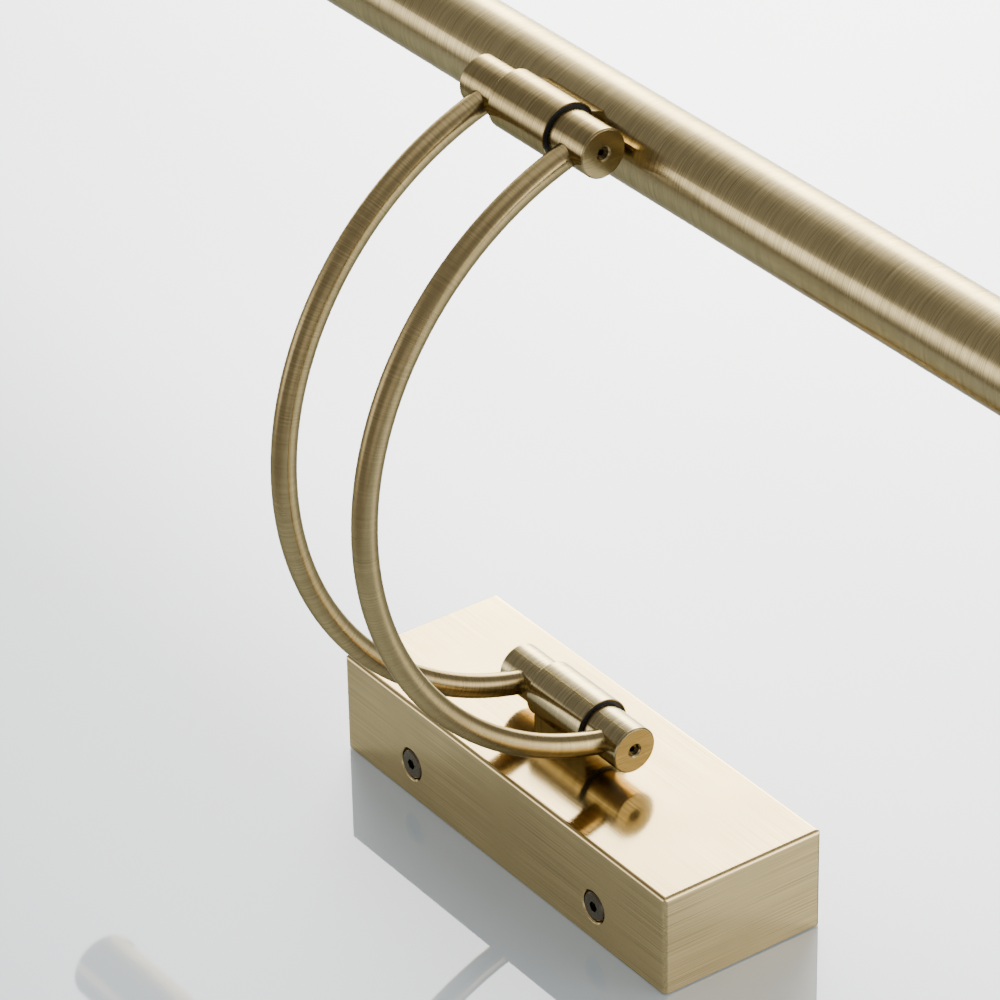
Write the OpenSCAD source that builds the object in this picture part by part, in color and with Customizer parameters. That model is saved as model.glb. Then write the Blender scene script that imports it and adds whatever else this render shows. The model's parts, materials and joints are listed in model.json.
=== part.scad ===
// Picture light: a wall canopy, two arched arms between two friction hinges, and a slim lamp tube.
// The origin is the centre of the canopy's back. The wall is the plane y = 0, the light stands out
// towards -Y, +Z is up the wall, and +X runs along the lamp and both hinge axes.

/* [Canopy] */
// Length of the canopy, along the lamp
canopy_length = 129; // [120:1:160]
// Height of the canopy, up the wall
canopy_height = 46; // [44:1:60]
// Depth of the canopy, out from the wall
canopy_depth = 27; // [27:1:34]
// Thickness of the canopy's walls
canopy_wall = 3; // [3:0.5:4]
// Radius of the canopy's edges and corners
edge_radius = 1; // [0.5:0.25:2]
// Distance of each side screw from the canopy's middle
side_screw_offset = 37; // [34:0.5:40]
// Distance of the side screws from the wall
side_screw_depth = 9.3; // [8:0.1:11]

/* [Wall bracket] */
// Distance between the two wall screws
wall_screw_spacing = 60; // [50:1:64]
// Width of the slot for a wall screw
wall_slot_width = 4.5; // [4:0.5:5]
// Length of the slot for a wall screw, end to end
wall_slot_length = 12; // [8:0.5:14]
// Thickness of the bracket's plate
plate_thickness = 1.5; // [1:0.5:2]
// Distance of the cable entry from the bracket's middle
cable_entry_offset = 12; // [11:0.5:14]
// Radius of the cable entry through its grommet
cable_entry_radius = 4; // [3:0.5:4]

/* [Hinges] */
// Radius of a hinge's barrel
barrel_radius = 7.25; // [7:0.25:8]
// Length of a hinge's barrel
barrel_length = 20.4; // [19:0.2:22]
// Width of the neck that carries a barrel
neck_width = 10.2; // [9:0.2:11]
// Radius of a knuckle
knuckle_radius = 6; // [5.8:0.1:6.2]
// Distance between the outer faces of a hinge's two knuckles
knuckle_span = 46; // [44:1:50]
// Height of the base hinge's axis above the canopy's front face
hinge_rise = 9.3; // [9:0.1:12]
// Distance from the head hinge's axis to the lamp tube's axis
tube_drop = 17.8; // [17.8:0.1:20]
// Radial clearance of a spindle in its bushes
spindle_clearance = 0.05; // [0.02:0.01:0.1]

/* [Arms] */
// Outer radius of an arm's tube
arm_radius = 3; // [2.5:0.25:3]
// Inner radius of an arm's tube
arm_bore = 2; // [1.5:0.25:2]
// Distance between the two arms' centre lines
arm_spacing = 32; // [31:0.5:33]
// Radius of the arms' arch
bend_radius = 82.2; // [70:0.2:100]
// Angle at which the arms lean away from the wall where they leave the base hinge
arm_lean = 9; // [5:0.5:20]
// Angle that the arch turns through between the two hinge axes
arm_sweep = 156.5; // [140:0.5:165]

/* [Lamp] */
// Length of the lamp over its end caps
lamp_length = 500; // [300:10:900]
// Outer radius of the lamp tube
tube_radius = 10.5; // [9.5:0.5:10.5]
// Thickness of the lamp tube's wall
tube_wall = 1; // [1:0.25:1.5]
// Width of the slot that the light leaves by
slot_width = 13; // [10:0.5:13]
// Tilt of the lamp about the head hinge, towards the wall
head_tilt = 17.5; // [0:0.5:25]
// Distance between two LEDs on the board
led_pitch = 8; // [6:1:20]

/* [Hidden] */
$fn = 96;
slack = 0.01;

// canopy and bracket
cavity_length = canopy_length - 2 * canopy_wall;
cavity_height = canopy_height - 2 * canopy_wall;
front_y = -canopy_depth;
inner_front_y = front_y + canopy_wall;
bracket_end_gap = 0.5;
lug_width = 16;
lug_thickness = 2;
lug_depth = 16;
lug_z = cavity_height / 2 - lug_thickness;
nut_thickness = 3;
nut_radius = 3.5;
earth_nut_flats = 7;
washer_rim = 2.5;
grommet_wall = 2;
grommet_lip = 1.5;
grommet_flange = 1.2;
earth_x = -14;
earth_z = 11;
earth_head_radius = 2.8;
earth_stud_length = 6;
earth_washer_thickness = 0.8;
earth_nut_thickness = 3.2;
terminal_size = [18, 12, 24];
terminal_x = 42;
pole_pitch = 7.5;
pole_row = 4.5;
wire_entry_y = -11;
wire_entry_radius = 1.9;
wire_entry_length = 1.5;
clamp_depth = 5;
clamp_head_depth = 1;
clamp_head_height = 1;
clamp_slot = [0.6, 0.5];
supply_wire_radius = 0.9;
driver_size = [48, 14, 24];
driver_end_x = -11;
pad_thickness = 1;

// screws: nominal radius and head radius
m3 = 1.5;
m3_head = 2.7;
m3_head_height = 1.5;
m3_key = 2;
m4 = 2;
m4_head = 3.7;
m4_head_height = 2;
m4_shank = 7;
screw_clearance = 0.25;
m4_key = 2.5;
side_recess_radius = 4.1;
rim_chamfer = 0.35;

// hinges
base_axis_y = front_y - hinge_rise;
recess_radius = barrel_radius - 0.35;
recess_depth = 1.2;
bush_flange = 0.8;
bush_length = 6;
bush_radius = 5;
spindle_radius = 4;
spindle_bore = 2;
washer_gap = 0.05;
washer_thickness = 0.55;
spindle_grip = 2.4;
wire_hole_radius = 1.6;
block_screw_x = 6.2;
block_screw_stop = bush_radius + 0.6;
block_hole_stop = bush_radius + 0.3;
flange_x = barrel_length / 2 - recess_depth;
washer_x = flange_x + bush_flange + washer_gap;
knuckle_x = washer_x + washer_thickness;
knuckle_edge = 0.3;
spindle_end = knuckle_x + spindle_grip;
grub_length = 3;
grub_key = 1.5;
grub_key_depth = 1.5;

// arms
arm_x = arm_spacing / 2;
arm_end_gap = 1.6;
arm_end_angle = arm_end_gap / bend_radius * 180 / PI;
socket_angle = 8;
wire_end_angle = 1;
arch_y = base_axis_y - bend_radius * cos(arm_lean);
arch_z = -bend_radius * sin(arm_lean);
head_axis_y = arch_y + bend_radius * cos(arm_lean + arm_sweep);
head_axis_z = arch_z + bend_radius * sin(arm_lean + arm_sweep);
arm_wire_radius = 0.9;

// lamp, in its own frame: the head hinge's axis is its origin and the tube hangs at -Z
tube_bore = tube_radius - tube_wall;
cap_thickness = 2;
cap_spigot = 4;
tube_length = lamp_length - 2 * cap_thickness;
inside_length = tube_length - 2 * cap_spigot - 1;
board_top = 0.5;
board_thickness = 1;
board_width = 12;
sink_top = 4.5;
led_size = [3.5, 2.8, 0.7];
led_margin = 6;
led_count = 2 * floor((inside_length / 2 - led_margin) / led_pitch);
lens_wall = 1;
lens_proud = 0.8;
lens_lip = 1.2;
lens_gap = 0.1;
thin_wire = 0.6;
wire_offset = 0.8;
wire_clear = 0.3;

// ---------- shared shapes ----------

// A cylinder along +X that starts at the origin.
module rod_x(r, length) {
    rotate([0, 90, 0]) cylinder(r = r, h = length);
}

// A cylinder along -Y, away from the wall, that starts at the origin.
module rod_out(r, length) {
    rotate([90, 0, 0]) cylinder(r = r, h = length);
}

// A hexagonal key hole that opens at the origin and sinks along -Z.
module hex_hole(across_flats, depth) {
    translate([0, 0, -depth]) cylinder(r = across_flats / 2 / cos(30), h = depth + slack, $fn = 6);
}

// A screw along Z: its head stands above z = 0 and its shank hangs below.
module screw(shank, length, head, head_height, key) {
    difference() {
        union() {
            translate([0, 0, -length]) cylinder(r = shank, h = length);
            cylinder(r = head, h = head_height - rim_chamfer);
            translate([0, 0, head_height - rim_chamfer])
                cylinder(r1 = head, r2 = head - rim_chamfer, h = rim_chamfer);
        }
        translate([0, 0, head_height]) hex_hole(key, head_height * 0.7);
    }
}

// A rectangle with round corners, centred on the origin.
module round_rectangle(w, h, r) {
    square([w - 2 * r, h], center = true);
    square([w, h - 2 * r], center = true);
    for (x = [-1, 1], y = [-1, 1])
        translate([x * (w / 2 - r), y * (h / 2 - r)]) circle(r = r);
}

// A block with every edge round, except those on the wall plane y = 0.
module round_block(w, d, h, r) {
    intersection() {
        translate([0, 0, -h]) linear_extrude(2 * h) round_rectangle(w, 2 * d, r);
        rotate([90, 0, 0]) linear_extrude(d) round_rectangle(w, h, r);
        rotate([90, 0, 90]) translate([0, 0, -w]) linear_extrude(2 * w) round_rectangle(2 * d, h, r);
    }
}

// Two copies, at +X and mirrored at -X.
module both_ends() {
    children();
    mirror([1, 0, 0]) children();
}

// ---------- places ----------

module at_side_screws() {
    for (x = [-1, 1], side = [0, 180])
        translate([x * side_screw_offset, -side_screw_depth, 0]) rotate([0, side, 0]) children();
}

module at_base_hinge() {
    translate([0, base_axis_y, 0]) children();
}

module at_head_hinge() {
    translate([0, head_axis_y, head_axis_z]) children();
}

// The base hinge's neck runs to the wall side, so its frame is turned a quarter about X.
module base_frame() {
    at_base_hinge() rotate([90, 0, 0]) children();
}

module lamp_frame() {
    at_head_hinge() rotate([head_tilt, 0, 0]) children();
}

module tube_frame() {
    lamp_frame() translate([0, 0, -tube_drop]) children();
}

// ---------- hinge pieces, with the hinge's axis on X and the neck at -Z ----------

module neck_and_barrel(neck_length) {
    translate([-barrel_length / 2, 0, 0]) rod_x(barrel_radius, barrel_length);
    translate([-barrel_length / 2, -neck_width / 2, -neck_length])
        cube([barrel_length, neck_width, neck_length]);
}

// What is drilled in a hinge's block: bush bore, end recesses, wire way and two screw threads.
module barrel_bores(neck_length) {
    translate([-barrel_length, 0, 0]) rod_x(bush_radius, 2 * barrel_length);
    both_ends() translate([flange_x, 0, 0]) rod_x(recess_radius, recess_depth + slack);
    translate([0, 0, -neck_length - slack]) cylinder(r = wire_hole_radius, h = neck_length);
    for (x = [-1, 1])
        translate([x * block_screw_x, 0, -neck_length - slack])
            cylinder(r = m3, h = neck_length + slack - block_hole_stop);
}

module bush() {
    difference() {
        union() {
            translate([flange_x - bush_length, 0, 0]) rod_x(bush_radius, bush_length);
            translate([flange_x, 0, 0]) rod_x(recess_radius, bush_flange);
        }
        rod_x(spindle_radius + spindle_clearance, barrel_length);
    }
}

module spindle() {
    difference() {
        translate([-spindle_end, 0, 0]) rod_x(spindle_radius, 2 * spindle_end);
        translate([-spindle_end - slack, 0, 0]) rod_x(spindle_bore, 2 * spindle_end + 2 * slack);
        translate([0, 0, -spindle_radius - slack]) cylinder(r = wire_hole_radius, h = spindle_radius);
    }
}

module spring_washer() {
    difference() {
        translate([washer_x, 0, 0]) rod_x(knuckle_radius - knuckle_edge, washer_thickness);
        rod_x(spindle_radius + spindle_clearance, knuckle_span);
    }
}

// The outside of one knuckle, with its end edge eased.
module knuckle_body() {
    outer = knuckle_span / 2;
    translate([knuckle_x, 0, 0]) rod_x(knuckle_radius, outer - knuckle_edge - knuckle_x);
    translate([outer - knuckle_edge, 0, 0]) rotate([0, 90, 0])
        cylinder(r1 = knuckle_radius, r2 = knuckle_radius - knuckle_edge, h = knuckle_edge);
}

// What is drilled along a knuckle's axis: spindle socket, wire way and grub screw thread.
module knuckle_bores() {
    outer = knuckle_span / 2;
    rod_x(spindle_radius, spindle_end);
    rod_x(wire_hole_radius, arm_x);
    translate([arm_x, 0, 0]) rod_x(m3, outer);
    translate([outer - rim_chamfer, 0, 0]) rotate([0, 90, 0])
        cylinder(r1 = m3, r2 = m3 + rim_chamfer + slack, h = rim_chamfer + slack);
}

module grub_screw() {
    difference() {
        translate([arm_x + arm_radius, 0, 0]) rod_x(m3, grub_length);
        translate([arm_x + arm_radius + grub_length, 0, 0]) rotate([0, 90, 0])
            hex_hole(grub_key, grub_key_depth);
    }
}

// ---------- arms ----------

// A round bar bent along the arch, from one angle of the arch to another.
module arch_bar(r, from_angle, to_angle) {
    translate([0, arch_y, arch_z]) rotate([90, 0, 90])
        rotate_extrude(start = from_angle, angle = to_angle - from_angle)
            translate([bend_radius, 0]) circle(r = r);
}

module arm_tube() {
    first = arm_lean + arm_end_angle;
    last = arm_lean + arm_sweep - arm_end_angle;
    difference() {
        arch_bar(arm_radius, first, last);
        arch_bar(arm_bore, first - 1, last + 1);
    }
}

module base_knuckle() {
    difference() {
        at_base_hinge() knuckle_body();
        at_base_hinge() knuckle_bores();
        translate([arm_x, 0, 0]) {
            arch_bar(arm_radius, arm_lean + arm_end_angle, arm_lean + socket_angle);
            arch_bar(arm_bore, arm_lean - wire_end_angle, arm_lean + socket_angle);
        }
    }
}

module head_knuckle() {
    top = arm_lean + arm_sweep;
    difference() {
        at_head_hinge() knuckle_body();
        at_head_hinge() knuckle_bores();
        translate([arm_x, 0, 0]) {
            arch_bar(arm_radius, top - socket_angle, top - arm_end_angle);
            arch_bar(arm_bore, top - socket_angle, top + wire_end_angle);
        }
    }
}

// ---------- canopy body ----------

module wall_bracket() {
    color("lightgray") difference() {
        union() {
            translate([-cavity_length / 2 + bracket_end_gap, -plate_thickness, -cavity_height / 2])
                cube([cavity_length - 2 * bracket_end_gap, plate_thickness, cavity_height]);
            for (x = [-1, 1], z = [-1, 1])
                translate([x * side_screw_offset - lug_width / 2, -lug_depth,
                           z > 0 ? lug_z : -cavity_height / 2])
                    cube([lug_width, lug_depth, lug_thickness]);
        }
        for (x = [-1, 1]) translate([x * wall_screw_spacing / 2, slack, 0]) wall_slot();
        translate([cable_entry_offset, slack, 0])
            rod_out(cable_entry_radius + grommet_wall, plate_thickness + 1);
        translate([earth_x, slack, earth_z]) rod_out(earth_head_radius, plate_thickness + 1);
        at_side_screws() translate([0, 0, lug_z - 1]) cylinder(r = m4, h = lug_thickness + 2);
    }
}

module wall_slot() {
    straight = wall_slot_length - wall_slot_width;
    for (x = [-1, 1])
        translate([x * straight / 2, 0, 0]) rod_out(wall_slot_width / 2, plate_thickness + 1);
    translate([-straight / 2, -plate_thickness - 1, -wall_slot_width / 2])
        cube([straight, plate_thickness + 1, wall_slot_width]);
}

module clinch_nuts() {
    color("silver") at_side_screws() translate([0, 0, lug_z - nut_thickness]) difference() {
        cylinder(r = nut_radius, h = nut_thickness);
        translate([0, 0, -1]) cylinder(r = m4, h = nut_thickness + 2);
    }
}

module cable_grommet() {
    color("black") translate([cable_entry_offset, 0, 0]) difference() {
        union() {
            rod_out(cable_entry_radius + grommet_wall, plate_thickness);
            translate([0, -plate_thickness, 0])
                rod_out(cable_entry_radius + grommet_wall + grommet_lip, grommet_flange);
        }
        translate([0, 1, 0]) rod_out(cable_entry_radius, plate_thickness + grommet_flange + 2);
    }
}

module earth_stud() {
    color("goldenrod") translate([earth_x, 0, earth_z]) {
        rod_out(earth_head_radius, plate_thickness);
        rod_out(m4, plate_thickness + earth_stud_length);
    }
}

module earth_washer() {
    color("silver") translate([earth_x, -plate_thickness, earth_z]) difference() {
        rod_out(m4 + washer_rim, earth_washer_thickness);
        translate([0, 1, 0]) rod_out(m4, earth_washer_thickness + 2);
    }
}

module earth_nut() {
    color("goldenrod")
        translate([earth_x, -plate_thickness - earth_washer_thickness, earth_z]) difference() {
            rotate([90, 0, 0]) cylinder(r = earth_nut_flats / 2 / cos(30), h = earth_nut_thickness, $fn = 6);
            translate([0, 1, 0]) rod_out(m4, earth_nut_thickness + 2);
        }
}

// Calls its children at each of the terminal block's clamping screws.
module at_terminals() {
    middle = terminal_x + terminal_size.x / 2;
    for (pole = [-1, 0, 1], x = [-1, 1])
        translate([middle + x * pole_row, -plate_thickness - terminal_size.y, pole * pole_pitch])
            children();
}

module terminal_block() {
    color("white") difference() {
        translate([terminal_x, -plate_thickness - terminal_size.y, -terminal_size.z / 2])
            cube(terminal_size);
        at_terminals() translate([0, clamp_depth, 0]) rod_out(wire_entry_radius, clamp_depth + 1);
        for (pole = [-1, 0, 1])
            translate([terminal_x - 1, wire_entry_y, pole * pole_pitch])
                rod_x(supply_wire_radius, terminal_size.x + 2);
    }
}

module terminal_screws() {
    slot_length = 2 * wire_entry_radius + 1;
    color("silver") at_terminals() translate([0, clamp_head_depth, 0]) difference() {
        rotate([-90, 0, 0]) cylinder(r = wire_entry_radius, h = clamp_head_height);
        translate([-slot_length / 2, -slack, -clamp_slot[0] / 2])
            cube([slot_length, clamp_slot[1] + slack, clamp_slot[0]]);
    }
}

// Live and neutral run straight from the terminal block to the driver.
module supply_wires() {
    color("saddlebrown") for (pole = [-1, 1])
        translate([driver_end_x, wire_entry_y, pole * pole_pitch])
            rod_x(supply_wire_radius, terminal_x + wire_entry_length - driver_end_x);
}

module led_driver() {
    color("whitesmoke")
        translate([driver_end_x - driver_size.x, inner_front_y + pad_thickness, -driver_size.z / 2])
            cube(driver_size);
}

module driver_pad() {
    margin = 3;
    color("dimgray")
        translate([driver_end_x - driver_size.x + margin, inner_front_y, margin - driver_size.z / 2])
            cube([driver_size.x - 2 * margin, pad_thickness, driver_size.z - 2 * margin]);
}

module canopy_cover() {
    color("darkkhaki") difference() {
        round_block(canopy_length, canopy_depth, canopy_height, edge_radius);
        translate([-cavity_length / 2, inner_front_y, -cavity_height / 2])
            cube([cavity_length, canopy_depth, cavity_height]);
        at_side_screws() side_screw_hole();
        translate([0, inner_front_y + 1, 0]) rod_out(wire_hole_radius, canopy_wall + 2);
        for (x = [-1, 1])
            translate([x * block_screw_x, inner_front_y + 1, 0])
                rod_out(m3 + screw_clearance, canopy_wall + 2);
    }
}

// The counterbore for a side screw, with a bright eased rim.
module side_screw_hole() {
    translate([0, 0, cavity_height / 2 - 1]) cylinder(r = m4 + screw_clearance, h = canopy_wall);
    translate([0, 0, canopy_height / 2 - m4_head_height]) cylinder(r = side_recess_radius, h = 3);
    translate([0, 0, canopy_height / 2 - rim_chamfer])
        cylinder(r1 = side_recess_radius, r2 = side_recess_radius + rim_chamfer + slack,
                 h = rim_chamfer + slack);
}

module canopy_screws() {
    color("dimgray") at_side_screws() translate([0, 0, canopy_height / 2 - m4_head_height])
        screw(m4, m4_shank, m4_head, m4_head_height, m4_key);
}

module foot_screws() {
    foot_length = canopy_wall + hinge_rise - block_screw_stop;
    color("silver") for (x = [-1, 1])
        translate([x * block_screw_x, inner_front_y, 0]) rotate([-90, 0, 0])
            screw(m3, foot_length, m3_head, m3_head_height, m3_key);
}

module base_hinge_block() {
    color("darkkhaki") base_frame() difference() {
        neck_and_barrel(hinge_rise);
        barrel_bores(hinge_rise);
    }
}

module base_hinge_bushes() {
    color("black") base_frame() both_ends() bush();
}

// The two low-voltage wires leave the driver, turn and run up the neck.
module canopy_wires() {
    bend = 3;
    run_y = -17;
    color("red") for (z = [-wire_offset, wire_offset]) translate([0, 0, z]) {
        translate([driver_end_x, run_y, 0]) rod_x(thin_wire, -bend - driver_end_x);
        translate([-bend, run_y - bend, 0])
            rotate_extrude(start = 0, angle = 90) translate([bend, 0]) circle(r = thin_wire);
        translate([0, run_y - bend, 0])
            rod_out(thin_wire, run_y - bend - base_axis_y - spindle_radius - wire_clear);
    }
}

// ---------- arms body ----------

module base_spindle() { color("silver") base_frame() spindle(); }
module base_spring_washers() { color("gray") base_frame() both_ends() spring_washer(); }
module base_knuckle_left() { color("darkkhaki") mirror([1, 0, 0]) base_knuckle(); }
module base_knuckle_right() { color("darkkhaki") base_knuckle(); }
module base_grub_screws() { color("dimgray") at_base_hinge() both_ends() grub_screw(); }
module arm_left() { color("darkkhaki") translate([-arm_x, 0, 0]) arm_tube(); }
module arm_right() { color("darkkhaki") translate([arm_x, 0, 0]) arm_tube(); }

// One wire runs inside each arm.
module arm_wires() {
    color("red") for (x = [-arm_x, arm_x])
        translate([x, 0, 0])
            arch_bar(arm_wire_radius, arm_lean + wire_end_angle, arm_lean + arm_sweep - wire_end_angle);
}

module head_knuckle_left() { color("darkkhaki") mirror([1, 0, 0]) head_knuckle(); }
module head_knuckle_right() { color("darkkhaki") head_knuckle(); }
module head_grub_screws() { color("dimgray") at_head_hinge() both_ends() grub_screw(); }
module head_spindle() { color("silver") lamp_frame() spindle(); }
module head_spring_washers() { color("gray") lamp_frame() both_ends() spring_washer(); }

// ---------- lamp body ----------

module head_hinge_block() {
    color("darkkhaki") lamp_frame() difference() {
        neck_and_barrel(tube_drop - tube_bore / 2);
        barrel_bores(tube_drop - tube_bore / 2);
        translate([-barrel_length, 0, -tube_drop]) rod_x(tube_radius, 2 * barrel_length);
    }
}

module head_hinge_bushes() {
    color("black") lamp_frame() both_ends() bush();
}

// The screws are driven from inside the tube, so their heads clear its curved wall.
module saddle_screws() {
    seat = tube_drop - sqrt(pow(tube_bore, 2) - pow(m3_head, 2)) + slack;
    color("silver") lamp_frame() for (x = [-1, 1])
        translate([x * block_screw_x, 0, -seat]) mirror([0, 0, 1])
            screw(m3, seat - block_screw_stop, m3_head, m3_head_height, m3_key);
}

module lamp_tube() {
    color("darkkhaki") tube_frame() difference() {
        translate([-tube_length / 2, 0, 0]) rod_x(tube_radius, tube_length);
        translate([-tube_length, 0, 0]) rod_x(tube_bore, 2 * tube_length);
        translate([-tube_length, -slot_width / 2, -2 * tube_radius])
            cube([2 * tube_length, slot_width, 2 * tube_radius]);
        cylinder(r = wire_hole_radius, h = 2 * tube_radius);
        for (x = [-1, 1])
            translate([x * block_screw_x, 0, 0]) cylinder(r = m3 + screw_clearance, h = 2 * tube_radius);
    }
}

module end_cap() {
    edge = 0.5;
    translate([tube_length / 2, 0, 0]) rod_x(tube_radius, cap_thickness - edge);
    translate([lamp_length / 2 - edge, 0, 0]) rotate([0, 90, 0])
        cylinder(r1 = tube_radius, r2 = tube_radius - edge, h = edge);
    translate([tube_length / 2 - cap_spigot, 0, 0]) rod_x(tube_bore, cap_spigot);
}

module end_cap_left() { color("darkkhaki") tube_frame() mirror([1, 0, 0]) end_cap(); }
module end_cap_right() { color("darkkhaki") tube_frame() end_cap(); }

module heat_sink() {
    color("silver") tube_frame() difference() {
        intersection() {
            translate([-inside_length / 2, 0, 0]) rod_x(tube_bore, inside_length);
            translate([-inside_length / 2, -tube_bore, board_top])
                cube([inside_length, 2 * tube_bore, sink_top - board_top]);
        }
        cylinder(r = wire_hole_radius, h = tube_radius);
    }
}

module led_board() {
    color("white") tube_frame()
        translate([-inside_length / 2, -board_width / 2, board_top - board_thickness])
            cube([inside_length, board_width, board_thickness]);
}

module led_chips() {
    face = board_top - board_thickness;
    color("gold") tube_frame() for (i = [0 : led_count - 1])
        translate([(i - (led_count - 1) / 2) * led_pitch - led_size.x / 2, -led_size.y / 2,
                   face - led_size.z])
            cube(led_size);
}

// The opal lens lies on the inside of the tube and stands into the slot.
module diffuser() {
    span = slot_width - 2 * lens_gap;
    color("snow") tube_frame() translate([-inside_length / 2, 0, 0]) rotate([90, 0, 90])
        linear_extrude(inside_length) difference() {
            union() {
                intersection() {
                    circle(r = tube_bore);
                    translate([-slot_width / 2 - lens_lip, -tube_radius])
                        square([slot_width + 2 * lens_lip, tube_radius]);
                }
                intersection() {
                    circle(r = tube_bore + lens_proud);
                    translate([-span / 2, -tube_radius]) square([span, tube_radius]);
                }
            }
            circle(r = tube_bore - lens_wall);
        }
}

// The two wires that come down the neck to the LED board.
module lamp_wires() {
    top = -spindle_radius - wire_clear;
    color("red") lamp_frame() for (x = [-wire_offset, wire_offset])
        translate([x, 0, -tube_drop + board_top]) cylinder(r = thin_wire, h = top + tube_drop - board_top);
}

wall_bracket();
clinch_nuts();
cable_grommet();
earth_stud();
earth_washer();
earth_nut();
terminal_block();
terminal_screws();
supply_wires();
led_driver();
driver_pad();
canopy_cover();
canopy_screws();
foot_screws();
base_hinge_block();
base_hinge_bushes();
canopy_wires();
base_spindle();
base_spring_washers();
base_knuckle_left();
base_knuckle_right();
base_grub_screws();
arm_left();
arm_right();
arm_wires();
head_knuckle_left();
head_knuckle_right();
head_grub_screws();
head_spindle();
head_spring_washers();
head_hinge_block();
head_hinge_bushes();
saddle_screws();
lamp_tube();
end_cap_left();
end_cap_right();
heat_sink();
led_board();
led_chips();
diffuser();
lamp_wires();
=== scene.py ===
"""Looks for the picture light: materials, wall, studio light and camera around the CAD frame.

The wall is the plane y = 0, the light stands out towards -Y, +Z is up the wall and +X runs along
the lamp and both hinge axes. Everything is in metres.
"""

import json
import math

import bpy
from mathutils import Matrix, Vector


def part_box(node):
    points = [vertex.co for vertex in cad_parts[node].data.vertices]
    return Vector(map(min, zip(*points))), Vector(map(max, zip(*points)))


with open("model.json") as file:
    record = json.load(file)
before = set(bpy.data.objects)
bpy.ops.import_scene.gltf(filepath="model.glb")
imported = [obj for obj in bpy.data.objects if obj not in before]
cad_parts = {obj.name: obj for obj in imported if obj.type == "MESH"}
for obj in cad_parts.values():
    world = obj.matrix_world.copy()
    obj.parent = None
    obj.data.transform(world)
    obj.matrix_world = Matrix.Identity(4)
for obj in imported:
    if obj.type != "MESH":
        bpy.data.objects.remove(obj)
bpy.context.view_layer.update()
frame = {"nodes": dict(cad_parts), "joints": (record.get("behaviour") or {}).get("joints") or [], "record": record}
NODES = frame["nodes"]
JOINT_AT = {joint["name"]: Vector(joint["pos_m"]) for joint in frame["joints"]}


# ---------- camera ----------

CAMERA_AT = Vector((-0.8293, -0.7266, 0.6088))
CAMERA_FORWARD = Vector((0.6952, 0.5234, -0.4927))
CAMERA_UP = Vector((0.4151, -0.8519, -0.3193))
CAMERA_LENS = 187.0
SENSOR_WIDTH = 36.0
CLIP_START = 0.01


def add_camera():
    """A long lens above the light's left end, with its upper edge turned away from the wall."""
    back = -CAMERA_FORWARD.normalized()
    right = CAMERA_UP.cross(back).normalized()
    up = back.cross(right)
    data = bpy.data.cameras.new("camera")
    data.lens = CAMERA_LENS
    data.sensor_width = SENSOR_WIDTH
    data.clip_start = CLIP_START
    camera = bpy.data.objects.new("camera", data)
    turn = Matrix((right, up, back)).transposed().to_4x4()
    camera.matrix_world = Matrix.Translation(CAMERA_AT) @ turn
    bpy.context.scene.collection.objects.link(camera)
    bpy.context.scene.camera = camera


# ---------- node trees ----------

class Tree:
    """Short ways to add and link the nodes of one material or world."""

    def __init__(self, tree):
        self.tree = tree
        tree.nodes.clear()

    def node(self, kind, sockets=None, **settings):
        """Adds a node; each socket is given another node's output to link, or a plain value."""
        made = self.tree.nodes.new(kind)
        for name, value in settings.items():
            setattr(made, name, value)
        for name, value in (sockets or {}).items():
            if isinstance(value, bpy.types.NodeSocket):
                self.tree.links.new(value, made.inputs[name])
            else:
                made.inputs[name].default_value = value
        return made

    def math(self, operation, *values, clamp=False):
        sockets = dict(enumerate(values))
        return self.node("ShaderNodeMath", sockets, operation=operation, use_clamp=clamp).outputs[0]

    def noise(self, vector, scale, detail):
        sockets = {"Vector": vector, "Scale": scale, "Detail": detail}
        return self.node("ShaderNodeTexNoise", sockets).outputs["Fac"]

    def remap(self, value, low, high, to_low=0.0, to_high=1.0):
        sockets = {"Value": value, "From Min": low, "From Max": high, "To Min": to_low, "To Max": to_high}
        return self.node("ShaderNodeMapRange", sockets).outputs["Result"]

    def mix(self, factor, a, b):
        """The colour or vector a where factor is 0, and b where it is 1."""
        return self.node("ShaderNodeMix", {"Factor": factor, 6: a, 7: b}, data_type="RGBA").outputs[2]

    def vector(self, x, y, z):
        return self.node("ShaderNodeCombineXYZ", {0: x, 1: y, 2: z}).outputs[0]

    def axes(self, vector):
        outputs = self.node("ShaderNodeSeparateXYZ", {0: vector}).outputs
        return outputs[0], outputs[1], outputs[2]

    def place(self, output="Object"):
        """A texture coordinate: unless output says another, the point in the part's own rest frame."""
        return self.node("ShaderNodeTexCoord").outputs[output]

    def place_from(self, centre):
        """The point in the part's own rest frame, measured from centre."""
        shift = {0: self.place(), 1: tuple(-c for c in centre)}
        return self.node("ShaderNodeVectorMath", shift, operation="ADD").outputs[0]

    def output(self, shader, kind="ShaderNodeOutputMaterial"):
        self.node(kind, {"Surface": shader})


def new_material(name):
    material = bpy.data.materials.new(name)
    material.use_nodes = True
    return material, Tree(material.node_tree)


# Most values of a noise lie in this range.
NOISE_RANGE = (0.3, 0.7)


# ---------- places that the brushing follows ----------

ARM_RADIUS = 0.003
ARCH_RADIUS = 0.0822
CANOPY_CENTRE = Vector((0.0, 0.0, 0.0))
BASE_AXIS = JOINT_AT["base_hinge"]
HEAD_AXIS = JOINT_AT["head_hinge"]
TUBE_AXIS = (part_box("lamp_tube")[0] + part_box("lamp_tube")[1]) / 2.0


def arch_centre():
    """The centre of the arms' bend: the arch's top is known, and it passes through the base hinge."""
    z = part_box("arm_left")[1].z - ARM_RADIUS - ARCH_RADIUS
    y = BASE_AXIS.y - math.sqrt(ARCH_RADIUS ** 2 - (BASE_AXIS.z - z) ** 2)
    return Vector((0.0, y, z))


# ---------- brushed brass ----------

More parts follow.
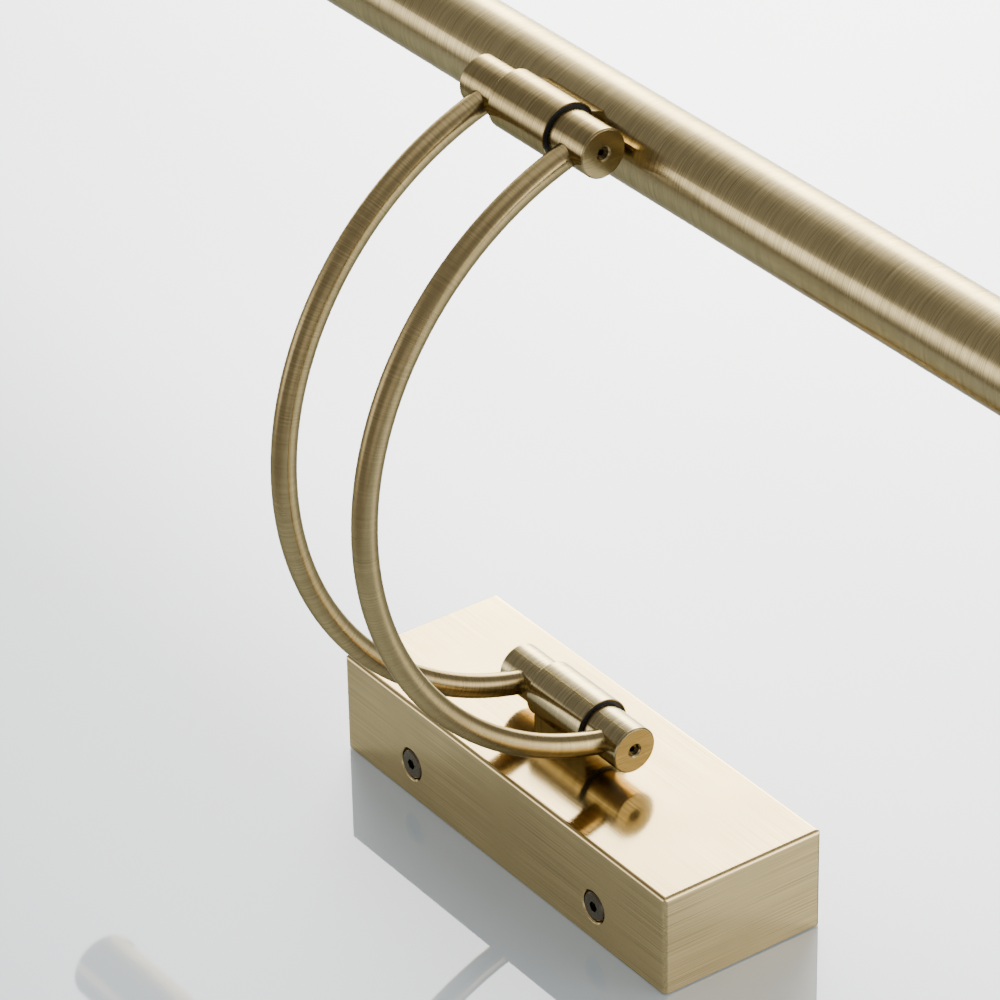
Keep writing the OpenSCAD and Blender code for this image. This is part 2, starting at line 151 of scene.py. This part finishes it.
BRASS = (0.60, 0.485, 0.255)
BRASS_DARK = (0.31, 0.245, 0.122)
# Share of a change in warmth that green takes part in; blue takes all of it, and red none.
GREEN_SHARE = 0.4
# The brushing's noise changes this often in a metre across the lines, and along straight or turned ones.
BRUSH_LINES = 6000.0
STRAIGHT_STROKES = 24.0
TURNED_STROKES = 110.0
# Half the range of the noise that runs from dark to bright brass. More gives weaker streaks.
STREAK_SPREAD = 0.24
# Between Y and Z, so that it lies across the brushing on the front and on the long sides alike.
ACROSS_SIDES = (0.0, 0.6, 0.8)
# Cloudy patches in a metre, and how far they change the shade and the gloss.
PATCHES = 35.0
PATCH_SHADE = 0.12
PATCH_GLOSS = 0.1
LINE_DEPTH = 0.00002
# Edges look rounded by this much.
EDGE_RADIUS = 0.00022
EDGE_SAMPLES = 4
GRAZING_TINT = (0.42, 0.42, 0.40, 1.0)
LACQUER_ROUGHNESS = 0.07
LACQUER_IOR = 1.6
# A face whose normal lies this far along X is an end face.
END_FACE = 0.8


def end_faces(tree):
    """1 on the faces that look along X, and 0 elsewhere."""
    along = tree.math("ABSOLUTE", tree.axes(tree.place("Normal"))[0])
    return tree.math("GREATER_THAN", along, END_FACE)


def along_strokes(tree, coordinate, strokes):
    """Shrinks a coordinate, so that the brushing's noise changes only strokes times in a metre along it."""
    return tree.math("MULTIPLY", coordinate, strokes / BRUSH_LINES)


# Each grain gives the point at which the brushing's noise is read, and the direction across the lines.

def grain_along_x(tree, point):
    """Brushing along X, and up and down on the end faces."""
    x, y, z = tree.axes(point)
    sides = tree.vector(along_strokes(tree, x, STRAIGHT_STROKES), y, z)
    ends = tree.vector(x, y, along_strokes(tree, z, STRAIGHT_STROKES))
    return tree.mix(end_faces(tree), sides, ends), tree.vector(*ACROSS_SIDES)


def grain_round_x(tree, point):
    """Turning marks: rings round X, and straight brushing on the end faces."""
    x, y, z = tree.axes(point)
    slow_z = along_strokes(tree, z, TURNED_STROKES)
    rings = tree.vector(x, along_strokes(tree, y, TURNED_STROKES), slow_z)
    ends = tree.vector(x, y, slow_z)
    return tree.mix(end_faces(tree), rings, ends), tree.vector(1.0, 0.0, 0.0)


def grain_round_arch(tree, point):
    """Rings round a bar that is bent about the point's origin; the way across them turns with the body."""
    x, y, z = tree.axes(point)
    angle = tree.math("ARCTAN2", z, tree.math("MULTIPLY", y, -1.0))
    arc = tree.math("MULTIPLY", angle, ARCH_RADIUS)
    slow_x = along_strokes(tree, x, TURNED_STROKES)
    rings = tree.vector(arc, slow_x, along_strokes(tree, y, TURNED_STROKES))
    tangent = tree.vector(0.0, tree.math("MULTIPLY", z, -1.0), y)
    turned = tree.node("ShaderNodeVectorTransform", {0: tangent}, vector_type="VECTOR",
                       convert_from="OBJECT", convert_to="WORLD").outputs[0]
    across = tree.node("ShaderNodeVectorMath", {0: turned}, operation="NORMALIZE").outputs[0]
    return rings, across


def brushed_brass(name, grain, centre, roughness, tone=1.0, warmth=0.97, relief=0.38, stretch=0.75,
                  streak=STREAK_SPREAD, lacquer=0.0):
    """Antique brass with brushing that follows grain."""
    material, tree = new_material(name)
    point = tree.place_from(centre)
    lines, across = grain(tree, point)
    fine = tree.noise(lines, BRUSH_LINES, detail=1.0)
    patches = tree.noise(point, PATCHES, detail=3.0)

    streaks = tree.remap(fine, 0.5 - streak, 0.5 + streak)
    clouds = tree.remap(patches, *NOISE_RANGE, -PATCH_SHADE, PATCH_SHADE)
    shade = tree.math("ADD", streaks, clouds, clamp=True)
    tint = (tone, tone * (1.0 - GREEN_SHARE * (1.0 - warmth)), tone * warmth)
    dark, light = (tuple(c * t for c, t in zip(brass, tint)) + (1.0,) for brass in (BRASS_DARK, BRASS))
    dull, glossy = roughness * (1.0 + PATCH_GLOSS), roughness * (1.0 - PATCH_GLOSS)
    rough = tree.remap(patches, *NOISE_RANGE, dull, glossy)

    edges = tree.node("ShaderNodeBevel", {"Radius": EDGE_RADIUS}, samples=EDGE_SAMPLES).outputs[0]
    bump = tree.node("ShaderNodeBump", {"Strength": relief, "Distance": LINE_DEPTH, "Height": fine,
                                        "Normal": edges}).outputs[0]
    shader = tree.node("ShaderNodeBsdfPrincipled", {
        "Base Color": tree.mix(shade, dark, light), "Metallic": 1.0, "Roughness": rough, "Normal": bump,
        "Specular Tint": GRAZING_TINT, "Anisotropic": stretch, "Tangent": across,
        "Coat Weight": lacquer, "Coat Roughness": LACQUER_ROUGHNESS, "Coat IOR": LACQUER_IOR})
    tree.output(shader.outputs[0])
    return material


def brass_materials():
    """The brass of the canopy, of both hinges, of the lamp and of the arms."""
    return {
        "canopy": brushed_brass("canopy_brass", grain_along_x, CANOPY_CENTRE, 0.13, tone=1.34, warmth=0.82,
                                relief=0.3, lacquer=0.3),
        "base": brushed_brass("base_hinge_brass", grain_round_x, BASE_AXIS, 0.17, tone=0.84, warmth=1.04),
        "head": brushed_brass("head_hinge_brass", grain_round_x, HEAD_AXIS, 0.18, tone=0.78, warmth=0.88),
        "lamp": brushed_brass("lamp_brass", grain_round_x, TUBE_AXIS, 0.22),
        "arm": brushed_brass("arm_brass", grain_round_arch, arch_centre(), 0.27, tone=0.84, warmth=0.86,
                             relief=0.25, stretch=0.6, streak=0.36),
    }


# ---------- plain materials ----------

# Soft clouds of colour in a metre, and how much finer the spots of gloss and height are.
CLOUDS = 220.0
SPOTS_PER_CLOUD = 10.0
SPOT_GLOSS = 0.15
SPOT_DEPTH = 0.00003

PLAIN_LOOKS = {
    "plain_brass": {"colour": (0.62, 0.44, 0.18), "roughness": 0.25, "metallic": 1.0},
    "plated_steel": {"colour": (0.60, 0.61, 0.62), "roughness": 0.32, "metallic": 1.0, "relief": 0.2},
    "spring_steel": {"colour": (0.34, 0.32, 0.29), "roughness": 0.28, "metallic": 1.0},
    "black_oxide_steel": {"colour": (0.14, 0.115, 0.075), "roughness": 0.25, "metallic": 1.0},
    "black_nylon": {"colour": (0.012, 0.012, 0.012), "roughness": 0.42},
    "black_rubber": {"colour": (0.02, 0.02, 0.02), "roughness": 0.62, "relief": 0.3},
    "foam_pad": {"colour": (0.07, 0.07, 0.07), "roughness": 0.9, "relief": 0.6},
    "white_nylon": {"colour": (0.78, 0.78, 0.74), "roughness": 0.45, "variety": 0.03},
    "driver_case": {"colour": (0.82, 0.82, 0.82), "roughness": 0.5, "variety": 0.02, "relief": 0.2},
    "red_silicone": {"colour": (0.42, 0.02, 0.015), "roughness": 0.45},
    "brown_pvc": {"colour": (0.12, 0.05, 0.02), "roughness": 0.35},
    "bare_aluminium": {"colour": (0.75, 0.75, 0.77), "roughness": 0.35, "metallic": 1.0},
    "white_board": {"colour": (0.85, 0.85, 0.83), "roughness": 0.4, "variety": 0.02},
    "led_phosphor": {"colour": (0.85, 0.60, 0.10), "roughness": 0.3},
    "opal_lens": {"colour": (0.84, 0.84, 0.80), "roughness": 0.35, "variety": 0.02, "clouds": 120.0,
                  "sockets": {"Subsurface Weight": 0.4, "Subsurface Scale": 0.002}},
}


def plain(name, colour, roughness, metallic=0.0, clouds=CLOUDS, relief=0.1, variety=0.12, sockets=None):
    """A moulded, plated or cast surface with a little variety in colour, gloss and height."""
    material, tree = new_material(name)
    point = tree.place()
    spots = tree.noise(point, clouds * SPOTS_PER_CLOUD, detail=4.0)
    cloudy = tree.noise(point, clouds, detail=3.0)
    dark = tuple(c * (1.0 - variety) for c in colour) + (1.0,)
    light = tuple(min(1.0, c * (1.0 + variety)) for c in colour) + (1.0,)
    tone = tree.mix(tree.remap(cloudy, *NOISE_RANGE), dark, light)
    rough = tree.remap(spots, *NOISE_RANGE, roughness * (1.0 - SPOT_GLOSS), roughness * (1.0 + SPOT_GLOSS))
    bump = tree.node("ShaderNodeBump", {"Strength": relief, "Distance": SPOT_DEPTH,
                                        "Height": spots}).outputs[0]
    shader = tree.node("ShaderNodeBsdfPrincipled", {
        "Base Color": tone, "Metallic": metallic, "Roughness": rough, "Normal": bump, **(sockets or {})})
    tree.output(shader.outputs[0])
    return material


# ---------- dressing the CAD nodes ----------

def brass_kind(name):
    """Which of the brass materials a brass node has."""
    for kind in ("canopy", "base", "head", "arm"):
        if name.startswith(kind + "_"):
            return kind
    return "lamp"


def dress():
    """Gives every CAD node the material of its slot; brass parts get the grain of their making."""
    plains = {name: plain(name, **look) for name, look in PLAIN_LOOKS.items()}
    brasses = brass_materials()
    slots = {part["node"]: part["material_slot"] for part in frame["record"]["subparts"]}
    for name, node in NODES.items():
        slot = slots[name]
        material = brasses[brass_kind(name)] if slot == "brushed_brass" else plains[slot]
        node.data.materials.clear()
        node.data.materials.append(material)


# ---------- wall ----------

WALL_COLOUR = (0.485, 0.56, 0.62, 1.0)
WALL_ROUGHNESS = 0.55
GLAZE_ROUGHNESS = 0.03
GLAZE_IOR = 2.6
WALL_HALF = 1.6
WALL_GAP = 0.0004
# The camera sees the wall fade out between these distances from the canopy's middle.
WALL_FADE = (0.5, 1.1)
# Height at which the glossy sheet gives way to a wall that metal doesn't mirror.
SHEET_TOP = 0.225
# The canopy's rim covers the edge of the sheet's opening by this much.
HOLE_MARGIN = 0.002


def wall_sheet():
    """Pale glossy sheet that shows from its front only."""
    material, tree = new_material("wall_sheet")
    gloss = tree.node("ShaderNodeBsdfPrincipled", {
        "Base Color": WALL_COLOUR, "Roughness": WALL_ROUGHNESS, "Coat Weight": 1.0,
        "Coat Roughness": GLAZE_ROUGHNESS, "Coat IOR": GLAZE_IOR})
    clear = tree.node("ShaderNodeBsdfTransparent")
    behind = tree.node("ShaderNodeNewGeometry").outputs["Backfacing"]
    distance = tree.node("ShaderNodeVectorMath", {0: tree.place()}, operation="LENGTH").outputs["Value"]
    seen = tree.node("ShaderNodeLightPath").outputs["Is Camera Ray"]
    faded = tree.math("MULTIPLY", seen, tree.remap(distance, *WALL_FADE))
    gone = tree.math("MAXIMUM", behind, faded)
    mixed = tree.node("ShaderNodeMixShader", {0: gone, 1: gloss.outputs[0], 2: clear.outputs[0]})
    tree.output(mixed.outputs[0])
    return material


def stage_mesh(name, points, faces, material):
    """A flat piece of the wall, from points given as x and z."""
    mesh = bpy.data.meshes.new(name)
    mesh.from_pydata([(x, WALL_GAP, z) for x, z in points], [], faces)
    mesh.materials.append(material)
    piece = bpy.data.objects.new(name, mesh)
    bpy.context.scene.collection.objects.link(piece)
    piece.visible_shadow = False
    return piece


def rectangle(low_x, low_z, high_x, high_z):
    return [(low_x, low_z), (high_x, low_z), (high_x, high_z), (low_x, high_z)]


def add_wall():
    """A sheet with an opening behind the canopy, and a plain wall above it that metal doesn't mirror."""
    low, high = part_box("canopy_cover")
    material = wall_sheet()
    outer = rectangle(-WALL_HALF, -WALL_HALF, WALL_HALF, SHEET_TOP)
    inner = rectangle(low.x + HOLE_MARGIN, low.z + HOLE_MARGIN, high.x - HOLE_MARGIN, high.z - HOLE_MARGIN)
    ring = [(i, (i + 1) % 4, 4 + (i + 1) % 4, 4 + i) for i in range(4)]
    stage_mesh("sheet", outer + inner, ring, material)
    above = rectangle(-WALL_HALF, SHEET_TOP, WALL_HALF, WALL_HALF)
    stage_mesh("wall_above", above, [(0, 1, 2, 3)], material).visible_glossy = False


# ---------- light ----------

# Angle about +X, in degrees from straight out (-Y) towards up (+Z), and brightness from 0 to 1.
STUDIO_BANDS = (
    (-180, 0.0), (-112, 0.025), (-97, 0.3), (-85, 0.7), (-62, 1.0), (-50, 0.75), (-44, 0.55), (-37, 0.19),
    (-30, 0.115), (-20, 0.062), (-11, 0.034), (3, 0.004), (20, 0.0), (58, 0.001), (74, 0.06), (83, 0.13),
    (93, 0.13), (102, 0.065), (109, 0.02), (114, 0.0), (180, 0.0),
)
SOFTBOX_STRENGTH = 26.0
# The softboxes fade in while a direction's part along X grows over the first range,
# and the one on the far side dims again over the second.
SOFTBOX_BEGINS = (0.36, 0.69)
SOFTBOX_DIMS = (0.72, 0.92)
FAR_END_LEVEL = 0.35
NEAR_SIDE_LEVEL = 0.21
ROOM_COLOUR = (1.0, 0.99, 0.965, 1.0)
ROOM_STRENGTH = 0.35
# The glow in front of the wall grows while a direction's part along -Y goes over this range.
FRONT_BEGINS = (0.8, 0.97)
FRONT_STRENGTH = 1.1
BACKDROP_COLOUR = (0.93, 0.94, 0.95, 1.0)
BACKDROP_STRENGTH = 1.6

FILL_AT = Vector((-1.6, -0.9, 1.7))
FILL_SIDE = 1.6
FILL_WATTS = 46.0


def studio_bands(tree, angle):
    """The softbox below the light and the strip above it, as bands about X."""
    ramp = tree.node("ShaderNodeValToRGB", {"Fac": tree.remap(angle, -math.pi, math.pi)})
    ramp.color_ramp.interpolation = "EASE"
    elements = ramp.color_ramp.elements
    while len(elements) < len(STUDIO_BANDS):
        elements.new(1.0)
    for element, (degrees, level) in zip(elements, STUDIO_BANDS):
        element.position = degrees / 360.0 + 0.5
        element.color = (level, level, level, 1.0)
    return ramp.outputs[0]


def add_studio():
    """A dim room with softboxes on both sides and a glow in front; the camera sees a plain backdrop."""
    world = bpy.data.worlds.new("studio")
    bpy.context.scene.world = world
    world.use_nodes = True
    tree = Tree(world.node_tree)
    x, y, z = tree.axes(tree.place("Generated"))
    outward = tree.math("MULTIPLY", y, -1.0)
    bands = studio_bands(tree, tree.math("ARCTAN2", z, outward))

    dimmed = tree.remap(x, *SOFTBOX_DIMS, 1.0, FAR_END_LEVEL)
    far_side = tree.math("MULTIPLY", tree.remap(x, *SOFTBOX_BEGINS), dimmed)
    near_side = tree.remap(tree.math("MULTIPLY", x, -1.0), *SOFTBOX_BEGINS, 0.0, NEAR_SIDE_LEVEL)
    level = tree.math("MULTIPLY", bands, tree.math("ADD", far_side, near_side))
    room = tree.remap(outward, *FRONT_BEGINS, ROOM_STRENGTH, FRONT_STRENGTH)
    strength = tree.math("MULTIPLY_ADD", level, SOFTBOX_STRENGTH, room)

    seen = tree.node("ShaderNodeLightPath").outputs["Is Camera Ray"]
    light = tree.node("ShaderNodeBackground", {"Color": ROOM_COLOUR, "Strength": strength})
    backdrop = tree.node("ShaderNodeBackground", {"Color": BACKDROP_COLOUR, "Strength": BACKDROP_STRENGTH})
    mixed = tree.node("ShaderNodeMixShader", {0: seen, 1: light.outputs[0], 2: backdrop.outputs[0]})
    tree.output(mixed.outputs[0], "ShaderNodeOutputWorld")


def add_wall_fill():
    """Soft light on the wall that the metal doesn't mirror."""
    data = bpy.data.lights.new("wall_fill", "AREA")
    data.shape = "RECTANGLE"
    data.size = data.size_y = FILL_SIDE
    data.energy = FILL_WATTS
    data.use_shadow = False
    fill = bpy.data.objects.new("wall_fill", data)
    fill.location = FILL_AT
    fill.rotation_euler = (-FILL_AT).to_track_quat("-Z", "Y").to_euler()
    fill.visible_glossy = False
    bpy.context.scene.collection.objects.link(fill)


# ---------- the whole scene ----------

add_camera()
add_wall()
add_studio()
add_wall_fill()
dress()
